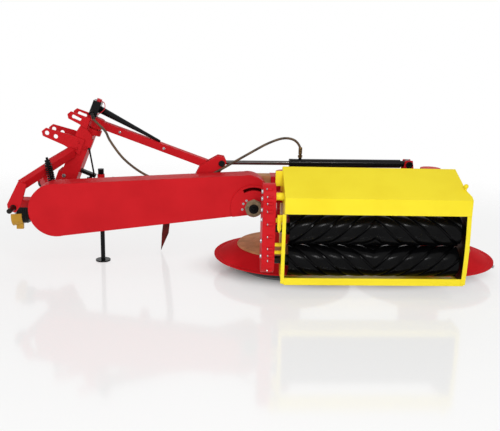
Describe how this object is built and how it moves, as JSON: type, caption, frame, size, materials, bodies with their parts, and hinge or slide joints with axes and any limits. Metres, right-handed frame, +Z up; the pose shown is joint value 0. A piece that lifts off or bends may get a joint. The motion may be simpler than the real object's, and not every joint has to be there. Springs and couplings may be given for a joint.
{
  "type": "drum mower conditioner",
  "caption": "Rear-mounted drum mower with chevron rubber conditioner rolls, belt-drive arm, folding headstock, lift cylinder and parking stand.",
  "frame": {"origin": "middle of the bounding box at ground level", "axes": "+X from the tractor side along the arm to the mowing head, +Y away from the conditioner outlet, +Z up"},
  "size_m": [2.872, 1.297, 0.9672],
  "materials": {
    "red_paint": "glossy enamel",
    "yellow_paint": "glossy enamel",
    "black_paint": "semi-gloss enamel",
    "casting": "primed casting",
    "steel": "machined",
    "chrome": "hard chrome",
    "roll_rubber": "moulded",
    "hose_rubber": "textile cover",
    "black_plastic": "moulded",
    "yellow_plastic": "moulded",
    "red_plastic": "moulded"
  },
  "bodies": {
    "arm": {"arm_beam": "red_paint", "belt_cover": "red_paint", "cover_back": "red_paint", "hinge_yoke": "red_paint", "hinge_pin": "black_paint", "swivel_case": "casting", "stay_beam": "red_paint", "lift_bracket": "red_paint", "relief_strut": "black_paint", "dust_cap": "red_plastic", "stand_sleeve": "red_paint", "ground_spike": "red_paint", "belt_spring": "black_paint", "swing_mount": "red_paint", "hose_feed": "hose_rubber", "hose_lift": "hose_rubber"},
    "headstock": {"mast": "red_paint", "top_clevis": "red_paint", "slot_clevis": "red_paint", "lower_frame": "red_paint", "lower_pins": "steel", "input_case": "red_paint", "shaft_guard": "black_plastic", "guard_bell": "yellow_plastic", "lock_rod": "black_paint"},
    "input_shaft": {"pto_shaft": "steel"},
    "stand": {"stand_leg": "black_paint"},
    "head": {"hinge_gearbox": "casting", "gear_beam": "red_paint", "drive_tube": "red_paint", "drive_case": "red_paint", "carrier_arm": "red_paint", "side_plates": "yellow_paint", "hood": "yellow_paint", "bottom_tray": "yellow_paint", "spacers": "yellow_paint", "hood_knob": "yellow_plastic"},
    "left_drum": {"drum_left": "red_paint", "ring_left": "casting", "disc_left": "red_paint", "knives_left": "steel"},
    "right_drum": {"drum_right": "red_paint", "ring_right": "casting", "disc_right": "red_paint", "knives_right": "steel"},
    "left_saucer": {"saucer_left": "black_paint"},
    "right_saucer": {"saucer_right": "black_paint"},
    "upper_roll": {"roll_upper": "roll_rubber", "shaft_upper": "steel"},
    "lower_roll": {"roll_lower": "roll_rubber", "shaft_lower": "steel"},
    "lift_barrel": {"lift_barrel": "black_paint"},
    "lift_rod": {"lift_rod": "chrome"},
    "swing_barrel": {"swing_barrel": "black_paint"},
    "swing_rod": {"swing_rod": "black_paint"}
  },
  "joints": [
    {"name": "lift", "type": "hinge", "parent": "arm", "child": "head", "pos_m": [-0.008, -0.0085, 0.417], "axis": [0, -1, 0], "range_deg": [0, 50], "deforming": ["hose_lift"]},
    {"name": "swing", "type": "hinge", "parent": "arm", "child": "headstock", "pos_m": [-1.096, 0.2115, 0.386], "axis": [-0.3697, 0, -0.9291], "range_deg": [0, 90]},
    {"name": "input_spin", "type": "hinge", "parent": "headstock", "child": "input_shaft", "pos_m": [-1.308, 0.2115, 0.262], "axis": [1, 0, 0], "continuous": true},
    {"name": "stand_slide", "type": "slide", "parent": "arm", "child": "stand", "axis": [0, 0, 1], "range_m": [0, 0.22]},
    {"name": "left_drum_spin", "type": "hinge", "parent": "head", "child": "left_drum", "pos_m": [0.184, -0.0085, 0.3], "axis": [0, 0, 1], "continuous": true},
    {"name": "right_drum_spin", "type": "hinge", "parent": "head", "child": "right_drum", "pos_m": [1.031, -0.0085, 0.3], "axis": [0, 0, 1], "continuous": true},
    {"name": "left_saucer_spin", "type": "hinge", "parent": "left_drum", "child": "left_saucer", "pos_m": [0.184, -0.0085, 0.03], "axis": [0, 0, 1], "continuous": true},
    {"name": "right_saucer_spin", "type": "hinge", "parent": "right_drum", "child": "right_saucer", "pos_m": [1.031, -0.0085, 0.03], "axis": [0, 0, 1], "continuous": true},
    {"name": "lower_roll_spin", "type": "hinge", "parent": "head", "child": "lower_roll", "pos_m": [0.592, -0.5385, 0.224], "axis": [1, 0, 0], "continuous": true},
    {"name": "upper_roll_spin", "type": "hinge", "parent": "head", "child": "upper_roll", "pos_m": [0.592, -0.5385, 0.39], "axis": [1, 0, 0], "continuous": true},
    {"name": "lift_barrel_tilt", "type": "hinge", "parent": "head", "child": "lift_barrel", "pos_m": [0.893, -0.0135, 0.645], "axis": [0, -1, 0], "range_deg": [-8, 2]},
    {"name": "lift_rod_slide", "type": "slide", "parent": "lift_barrel", "child": "lift_rod", "axis": [-1, 0, -0.0083], "range_m": [-0.26, 0.02]},
    {"name": "swing_barrel_turn", "type": "hinge", "parent": "arm", "child": "swing_barrel", "pos_m": [-0.648, 0.2915, 0.455], "axis": [-0.3697, 0, -0.9291], "range_deg": [-12, 12]},
    {"name": "swing_rod_slide", "type": "slide", "parent": "swing_barrel", "child": "swing_rod", "axis": [-0.9515, -0.2949, 0.0874], "range_m": [-0.02, 0.15]}
  ],
  "couplings": [
    {"joint": "right_drum_spin", "follows": "left_drum_spin", "ratio": -1},
    {"joint": "upper_roll_spin", "follows": "lower_roll_spin", "ratio": -1},
    {"joint": "lift_barrel_tilt", "follows": "lift", "ratio": -0.075896},
    {"joint": "lift_rod_slide", "follows": "lift", "m_per_rad": -0.26352},
    {"joint": "swing_barrel_turn", "follows": "swing", "ratio": -0.038268},
    {"joint": "swing_rod_slide", "follows": "swing", "m_per_rad": 0.070771}
  ]
}
